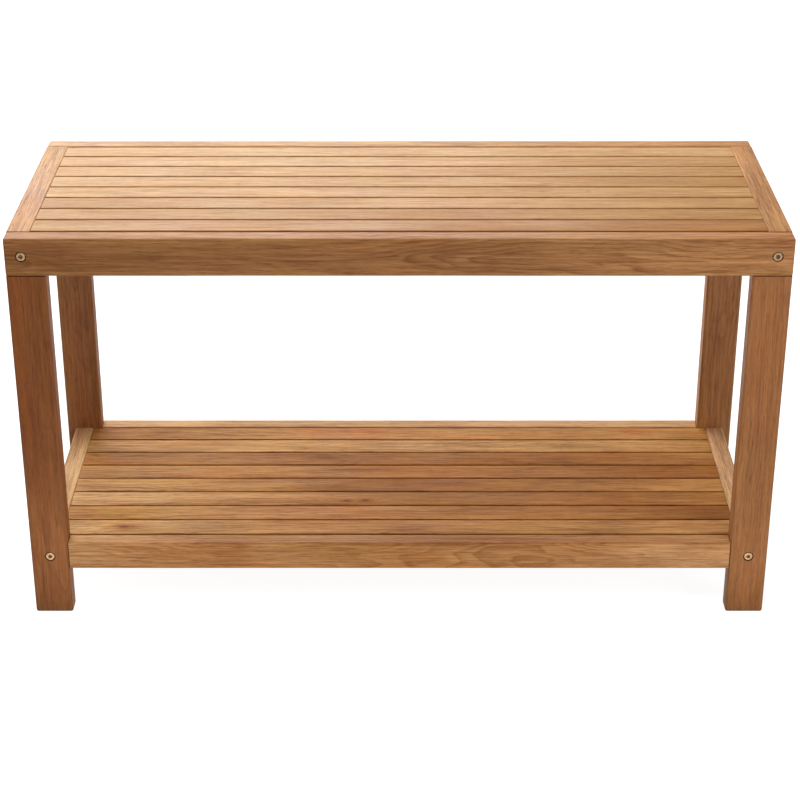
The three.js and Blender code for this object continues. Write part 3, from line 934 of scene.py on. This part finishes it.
def dowel(node, seed):
    """Fluted hardwood dowel with chamfered ends."""
    board = board_of(node)
    radius = board.half.z
    half = board.half[board.long]
    profile = chamfered(radius, -half, half, DOWEL_CHAMFER)
    profile[3:3] = [(radius, half * step / 4) for step in range(-3, 4)]
    shaft = revolve(profile, board.centre, AXES[board.long], DOWEL_SEGMENTS, fluted)
    piece = add_piece(f"{node}_wood", shaft)
    smooth(piece)
    write_wood_data(piece, node, board, seed)
    settle(piece, "pegs", node)


def screw_mesh(place, turn):
    """Countersunk wood screw pointing up, with a crossed recess in its head."""
    head = SCREW_HEAD_RADIUS
    shank = SCREW_SHANK_RADIUS
    profile = [(0, 0.35 * MM), (0.5 * MM, 0.3 * MM), (head - 0.4 * MM, 0), (head, 0.2 * MM)]
    profile.append((shank, SCREW_HEAD_DEPTH))
    for i in range(SCREW_THREADS):
        height = SCREW_PLAIN + (SCREW_LENGTH - SCREW_PLAIN - SCREW_TIP) * i / SCREW_THREADS
        profile.append((shank * (1.0 if i % 2 else SCREW_CORE), height))
    profile += [(0.25 * MM, SCREW_LENGTH - 0.3 * MM), (0, SCREW_LENGTH)]
    return revolve(profile, place + AXES[2] * SCREW_SINK, AXES[2], SCREW_SEGMENTS, turn=turn)


def crossed_recess(place, turn):
    """Two crossed cutters for a screw's head."""
    arms = []
    for quarter in (0, math.pi / 2):
        arm = bmesh.new()
        spin = Matrix.Translation(place + AXES[2] * SCREW_SINK) @ Matrix.Rotation(turn + quarter, 4, "Z")
        size = Matrix.Diagonal((*SCREW_RECESS, 1))
        bmesh.ops.create_cube(arm, size=1, matrix=spin @ size)
        arms.append(arm)
    return arms


def batten_screws(level, place):
    """The wood screws of one batten, as one piece."""
    chance = random.Random(f"{level}{place}")
    screws = []
    recesses = []
    for centre in screw_places(level, place):
        turn = chance.uniform(0, math.pi)
        screws.append(screw_mesh(centre, turn))
        recesses.append(crossed_recess(centre, turn))
    piece = add_piece(f"{level}_batten_{place}_screws", merged(screws))
    carve(piece, [merged(arms) for arms in zip(*recesses)])
    settle_metal(piece, "nuts", [SCREW_GRIME] * len(piece.data.vertices))


# ---- materials


class Graph:
    """Short names for the nodes of one material."""

    def __init__(self, name):
        self.material = bpy.data.materials.new(name)
        self.material.use_nodes = True
        self.tree = self.material.node_tree
        self.tree.nodes.clear()

    def put(self, socket, value):
        if isinstance(value, bpy.types.NodeSocket):
            self.tree.links.new(value, socket)
        else:
            socket.default_value = value

    def math(self, operation, *values, clamp=False):
        node = self.tree.nodes.new("ShaderNodeMath")
        node.operation = operation
        node.use_clamp = clamp
        for socket, value in zip(node.inputs, values):
            self.put(socket, value)
        return node.outputs[0]

    def vector(self, operation, *values):
        node = self.tree.nodes.new("ShaderNodeVectorMath")
        node.operation = operation
        for socket, value in zip(node.inputs, values):
            self.put(socket, value)
        return node.outputs["Vector"]

    def split(self, vector):
        node = self.tree.nodes.new("ShaderNodeSeparateXYZ")
        self.put(node.inputs[0], vector)
        return node.outputs

    def join(self, x, y, z):
        node = self.tree.nodes.new("ShaderNodeCombineXYZ")
        for socket, value in zip(node.inputs, (x, y, z)):
            self.put(socket, value)
        return node.outputs[0]

    def attribute(self, name, output="Vector"):
        node = self.tree.nodes.new("ShaderNodeAttribute")
        node.attribute_name = name
        return node.outputs[output]

    def noise(self, vector, stretch, detail=2.0, roughness=0.5, output="Fac"):
        """Noise whose grain is drawn out: stretch holds cycles per metre along, across and through."""
        node = self.tree.nodes.new("ShaderNodeTexNoise")
        self.put(node.inputs["Vector"], self.vector("MULTIPLY", vector, stretch))
        node.inputs["Scale"].default_value = 1.0
        node.inputs["Detail"].default_value = detail
        node.inputs["Roughness"].default_value = roughness
        return node.outputs["Color" if output == "Color" else 0]

    def span(self, value, low, high, to_low=0.0, to_high=1.0, smooth=False):
        node = self.tree.nodes.new("ShaderNodeMapRange")
        node.interpolation_type = "SMOOTHSTEP" if smooth else "LINEAR"
        for socket, number in zip(node.inputs, (value, low, high, to_low, to_high)):
            self.put(socket, number)
        return node.outputs[0]

    def mix(self, share, first, second, blend="MIX"):
        node = self.tree.nodes.new("ShaderNodeMix")
        node.data_type = "RGBA"
        node.blend_type = blend
        self.put(node.inputs[0], share)
        for number, colour in ((6, first), (7, second)):
            solid = not isinstance(colour, bpy.types.NodeSocket)
            self.put(node.inputs[number], (*colour, 1.0) if solid else colour)
        return node.outputs[2]

    def bump(self, height, distance, strength):
        node = self.tree.nodes.new("ShaderNodeBump")
        node.inputs["Strength"].default_value = strength
        node.inputs["Distance"].default_value = distance
        self.put(node.inputs["Height"], height)
        return node.outputs[0]

    def surface(self, **values):
        shader = self.tree.nodes.new("ShaderNodeBsdfPrincipled")
        for name, value in values.items():
            self.put(shader.inputs[name.replace("_", " ")], value)
        output = self.tree.nodes.new("ShaderNodeOutputMaterial")
        self.tree.links.new(shader.outputs[0], output.inputs["Surface"])
        return self.material


def knot_reach(g, grain, name):
    """Distance from a knot in its own radii, drawn out along the grain."""
    knot = g.attribute(name)
    away = g.split(g.vector("SUBTRACT", grain, knot))
    along = g.math("POWER", g.math("MULTIPLY", g.math("ABSOLUTE", away[0]), 0.45), 2.0)
    across = g.math("POWER", g.math("ABSOLUTE", away[1]), 2.0)
    return g.math("DIVIDE", g.math("SQRT", g.math("ADD", along, across)), g.split(knot)[2])


def ring_figure(g, grain, reach):
    """Growth rings cut by the board's faces: 0 in the pale early wood, 1 at the dark late line."""
    sway = g.vector("SUBTRACT", g.noise(grain, (2.6, 11.0, 11.0), 3.0, 0.5, "Color"), (0.5, 0.5, 0.5))
    drift = g.vector("MULTIPLY", sway, (0.0, 0.06, 0.06))
    heart = g.attribute("heart")
    place = g.split(g.vector("ADD", grain, drift))
    heart_across, heart_through, pitch = g.split(heart)
    across = g.math("POWER", g.math("ABSOLUTE", g.math("ADD", place[1], heart_across)), 2.0)
    through = g.math("POWER", g.math("ABSOLUTE", g.math("ADD", place[2], heart_through)), 2.0)
    bend = g.math("MULTIPLY", g.math("POWER", 2.718, g.math("MULTIPLY", reach, -0.3)), 0.012)
    radius = g.math("ADD", g.math("SQRT", g.math("ADD", across, through)), bend)
    phase = g.math("FRACT", g.math("DIVIDE", radius, pitch))
    rising = g.math("POWER", phase, 2.2)
    return g.math("MULTIPLY", rising, g.span(phase, 0.86, 1.0, 1.0, 0.0, True))


def tinted(g, share, colour, tint):
    """The colour, multiplied by a tint where share is 1."""
    return g.mix(share, colour, g.mix(1.0, colour, tint, "MULTIPLY"))


def wood_material(slot, wood):
    """Oiled hardwood: rings, streaks, pores, slow colour change, knots, darker end grain, edges lightened by
    wear and a painted highlight, painted shade in holes and slat gaps, and board tones and patches that
    carry painted light and shade.
    """
    g = Graph(f"oiled_{slot}")
    grain = g.attribute("grain")
    # The tone's lightness holds painted light and shade as well as the wood's own tone.
    light, warm, ring_strength = g.split(g.attribute("tone_and_painted_light"))
    reach = g.math("MINIMUM", knot_reach(g, grain, "knot"), knot_reach(g, grain, "second_knot"))
    ring_patches = g.span(g.noise(grain, (3.2, 18.0, 18.0), 2.0), 0.38, 0.62, 0.15, 1.0, True)
    rings = g.math("MULTIPLY", ring_figure(g, grain, reach), g.math("MULTIPLY", ring_patches, ring_strength))

    blotches = g.noise(grain, (6.5, 30.0, 30.0), 3.0, 0.55)
    streaks = g.noise(grain, (13.0, 360.0, 360.0), 4.0, 0.68)
    dashes = g.span(g.noise(grain, (42.0, 760.0, 760.0), 2.0, 0.55), 0.56, 0.72)
    fibres = g.noise(grain, (70.0, 1500.0, 1500.0), 3.0, 0.6)
    pores = g.span(g.noise(grain, (90.0, 2600.0, 2600.0), 1.0, 0.5), 0.58, 0.7)

    patchy = g.span(blotches, 0.3, 0.7, 0.22 - 0.26 * wood.variety, 0.22 + 0.28 * wood.variety)
    streaky = g.span(streaks, 0.34, 0.66, 0.18 - 0.34 * wood.figure, 0.18 + 0.34 * wood.figure)
    depth = g.math("ADD", patchy, streaky)
    depth = g.math("ADD", depth, g.span(fibres, 0.32, 0.68, -0.12, 0.16))
    depth = g.math("ADD", depth, g.math("MULTIPLY", dashes, 0.5 * wood.figure))
    depth = g.math("ADD", depth, g.math("MULTIPLY", rings, 0.6), clamp=True)
    colour = g.mix(depth, wood.pale, wood.dark)

    hue_reach = 0.9 * wood.variety
    wander = g.span(g.noise(grain, (4.0, 24.0, 24.0), 2.0), 0.34, 0.66, -hue_reach, hue_reach)
    hue = g.math("ADD", wander, warm)
    colour = tinted(g, g.span(hue, 0.0, 1.0), colour, WARM_TINT)
    colour = tinted(g, g.span(hue, 0.0, -1.0), colour, COOL_TINT)
    colour = tinted(g, g.math("MULTIPLY", pores, 0.4), colour, PORE_TINT)

    colour = tinted(g, g.span(reach, 0.8, 3.6, 0.85, 0.0, True), colour, KNOT_HALO_TINT)
    colour = g.mix(g.span(reach, 0.5, 1.1, 0.85, 0.0, True), colour, KNOT_COLOUR)

    end_grain = g.span(g.attribute("end_grain", "Fac"), 0.55, 0.95, 0.0, 0.55, True)
    colour = tinted(g, end_grain, colour, END_GRAIN_TINT)
    # Painted shade on the walls of holes, housings and slat gaps, read from the cut values.
    colour = tinted(g, g.math("MULTIPLY", g.attribute("cut", "Fac"), 0.8), colour, RECESS_SHADE_TINT)
    # Worn edges lightened: partly real wear, partly a painted highlight along the arrises.
    wear_and_highlight_share = g.span(g.noise(grain, (24.0, 60.0, 60.0), 3.0), 0.35, 0.7, 0.05, 0.5)
    colour = tinted(g, g.math("MULTIPLY", g.attribute("worn_and_highlit", "Fac"), wear_and_highlight_share), colour, WEAR_AND_HIGHLIGHT_TINT)
    # Multiplied by the soft patches: stains, and on the seat's front rail painted light and shade.
    colour = g.vector("MULTIPLY", colour, g.attribute("stain_and_painted_light"))
    # The board's lightness, painted light and shade included, also deepens the colour where it is darker.
    deepened = g.join(light, g.math("POWER", light, DARK_GREEN), g.math("POWER", light, DARK_BLUE))
    colour = g.vector("MULTIPLY", colour, deepened)

    polish = g.noise(grain, (9.0, 40.0, 40.0), 3.0)
    sheen = g.span(polish, 0.3, 0.7, wood.roughness - 0.07, wood.roughness + 0.07)
    gloss = g.math("ADD", sheen, g.math("MULTIPLY", pores, 0.15))
    gloss = g.math("ADD", gloss, g.math("MULTIPLY", end_grain, 0.2), clamp=True)
    relief = g.math("SUBTRACT", g.math("MULTIPLY", streaks, 0.5), g.math("MULTIPLY", pores, 0.5))
    relief = g.math("ADD", relief, g.math("MULTIPLY", fibres, 0.35))
    relief = g.math("SUBTRACT", relief, g.math("MULTIPLY", dashes, 0.3))
    normal = g.bump(relief, 0.25 * MM, 0.5)
    return g.surface(Base_Color=colour, Roughness=gloss, Normal=normal, Specular_IOR_Level=wood.shine)


def metal_material(name, clean, stained, rough_low, rough_high):
    """Plated metal: turned lines, stains, dirt, and painted shade in a bolt's socket and at its rim."""
    g = Graph(name)
    place = g.tree.nodes.new("ShaderNodeTexCoord").outputs["Object"]
    dirt_and_shade = g.attribute("dirt_and_shade", "Fac")
    blotches = g.noise(place, (420.0, 420.0, 420.0), 4.0, 0.6)
    scratches = g.noise(place, (2600.0, 300.0, 2600.0), 3.0, 0.6)
    colour = g.mix(g.span(blotches, 0.42, 0.72), clean, stained)
    # Darkened by dirt, and in a bolt's socket and at its rim by painted shade.
    colour = g.mix(g.math("MULTIPLY", dirt_and_shade, 0.8), colour, DIRT_AND_SHADE_COLOUR)
    turned = g.span(scratches, 0.3, 0.7, rough_low, rough_high)
    rough = g.math("ADD", turned, g.math("MULTIPLY", dirt_and_shade, 0.3), clamp=True)
    normal = g.bump(scratches, 0.03 * MM, 0.4)
    return g.surface(Base_Color=colour, Metallic=1.0, Roughness=rough, Normal=normal)


def make_materials():
    made = {slot: wood_material(slot, wood) for slot, wood in WOODS.items()}
    made["bolts"] = metal_material("plated_brass", (0.62, 0.42, 0.24), (0.33, 0.18, 0.09), 0.36, 0.54)
    made["nuts"] = metal_material("plated_steel", (0.62, 0.63, 0.64), (0.38, 0.36, 0.33), 0.3, 0.48)
    return made


# ---- assembly


def build_legs(seeds):
    for end in ENDS:
        for side in SIDES:
            wooden(f"{end}_{side}_leg", "legs", leg_cutters(end, side), LEG_ARRIS, FOOT_EASE, next(seeds))


def build_frames(seeds):
    for end in ENDS:
        cutters = seat_long_rail_cutters(end)
        wooden(f"seat_{end}_rail", "seat_frame", cutters, SEAT_RAIL_ARRIS, SEAT_RAIL_END, next(seeds))
        cutters = shelf_long_rail_cutters(end)
        wooden(f"shelf_{end}_rail", "shelf_frame", cutters, ARRIS, SHELF_RAIL_END, next(seeds))
    for side in SIDES:
        cutters = seat_side_rail_cutters(side)
        wooden(f"seat_{side}_rail", "seat_frame", cutters, SIDE_RAIL_ARRIS, SIDE_RAIL_END, next(seeds))
        cutters = side_rail_cutters("shelf", side)
        wooden(f"shelf_{side}_rail", "shelf_frame", cutters, SIDE_RAIL_ARRIS, SIDE_RAIL_END, next(seeds))


def slat_pilot_holes(level, slat):
    """Narrow pilot holes in a slat's lower face for its screws."""
    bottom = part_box(f"{level}_slat_{slat}")[0].z
    holes = []
    for place in PLACES:
        for centre in screw_places(level, place)[2 * slat - 2 : 2 * slat]:
            start = Vector((centre.x, centre.y, bottom - OVERCUT))
            holes.append(bore(PILOT_HOLE, start, AXES[2], PILOT_HOLE_DEPTH + OVERCUT))
    return [merged(holes)]


def build_slats(seeds):
    for level in ("seat", "shelf"):
        for slat in SLATS:
            node = f"{level}_slat_{slat}"
            holes = slat_pilot_holes(level, slat)
            wooden(node, f"{level}_slats", holes, SLAT_ARRIS, SLAT_END_EASE, next(seeds))


def build_battens(seeds):
    for level in ("seat", "shelf"):
        for place in PLACES:
            node = f"{level}_batten_{place}"
            low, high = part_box(node)
            holes = [screw_hole(centre, high.z - low.z + OVERCUT) for centre in screw_places(level, place)]
            wooden(node, "battens", [merged(holes)], BATTEN_ARRIS, END_EASE, next(seeds))
            batten_screws(level, place)


def build_fasteners(seeds):
    for end in ENDS:
        for side in SIDES:
            for level in ("seat", "shelf"):
                hex_bolt(f"{level}_bolt_{end}_{side}")
                barrel_nut(f"{level}_nut_{end}_{side}")
            dowel(f"seat_dowel_{end}_{side}", next(seeds))
            wooden(f"shelf_tenon_{end}_{side}", "pegs", (), TENON_ARRIS, TENON_EASE, next(seeds))


# ---- stage


def paper_white(name, strength, bounce):
    """White that shines a little, with a share of the light that it throws back."""
    return Graph(name).surface(
        Base_Color=(bounce, bounce, bounce, 1.0),
        Roughness=0.9,
        Emission_Color=(1.0, 1.0, 1.0, 1.0),
        Emission_Strength=strength,
    )


def build_stage():
    """Pale floor and a wide white backdrop, seen by the camera but giving little light of their own."""
    floor = add_piece("floor", block((-20, -20, -0.02), (20, 20, 0)))
    floor.data.materials.append(paper_white("pale_floor", 0.93, 0.3))
    floor.visible_diffuse = False
    shell = bmesh.new()
    bmesh.ops.create_icosphere(shell, subdivisions=4, radius=18)
    bmesh.ops.reverse_faces(shell, faces=shell.faces)
    backdrop = add_piece("backdrop", shell)
    smooth(backdrop, math.pi)
    backdrop.data.materials.append(paper_white("white_backdrop", 1.0, 0.0))
    backdrop.visible_diffuse = False
    backdrop.visible_glossy = False
    backdrop.visible_shadow = False


def area_light(name, place, target, size, power, colour):
    data = bpy.data.lights.new(name, "AREA")
    data.shape = "RECTANGLE"
    data.size, data.size_y = size
    data.energy = power
    data.color = colour
    light = bpy.data.objects.new(name, data)
    light.location = place
    light.rotation_euler = (Vector(target) - Vector(place)).to_track_quat("-Z", "Y").to_euler()
    light.visible_camera = False
    bpy.context.scene.collection.objects.link(light)


def build_lights():
    world = bpy.data.worlds.new("studio")
    world.use_nodes = True
    sky = world.node_tree.nodes["Background"]
    sky.inputs["Color"].default_value = (0.97, 0.98, 1.0, 1.0)
    sky.inputs["Strength"].default_value = 0.23
    bpy.context.scene.world = world
    area_light("back_left", (-0.75, 2.0, 1.65), (-0.15, 0.0, 0.45), (2.4, 1.1), 62, NEUTRAL)
    area_light("overhead", (-0.6, 0.5, 2.8), (0.0, 0.0, 0.45), (1.8, 1.2), 20, NEUTRAL)
    area_light("front_high", (0.0, -1.7, 2.7), (0.0, -0.1, 0.1), (2.0, 0.8), 23, WARM)
    area_light("floor_bounce", (0.0, -0.42, 0.01), (0.0, -0.36, 1.0), (1.1, 0.34), 1.6, WARM)
    area_light("front_right", (2.2, -1.8, 1.3), (0.3, 0.0, 0.35), (1.2, 1.2), 22, WARM)
    area_light("left_side", (-2.2, 0.5, 0.8), (-0.2, 0.0, 0.15), (1.0, 0.8), 7, WARM)


def build_camera():
    data = bpy.data.cameras.new("camera")
    data.sensor_width = 36
    data.lens = CAMERA_LENS
    data.shift_x = CAMERA_SHIFT
    camera = bpy.data.objects.new("camera", data)
    camera.location = CAMERA_PLACE
    camera.rotation_euler = (CAMERA_TILT, 0, 0)
    bpy.context.scene.collection.objects.link(camera)
    bpy.context.scene.camera = camera


bpy.context.scene.view_settings.view_transform = "Standard"
MATERIALS = make_materials()
board_seeds = itertools.count(1)
build_legs(board_seeds)
build_frames(board_seeds)
build_slats(board_seeds)
build_battens(board_seeds)
build_fasteners(board_seeds)
build_stage()
build_lights()
build_camera()
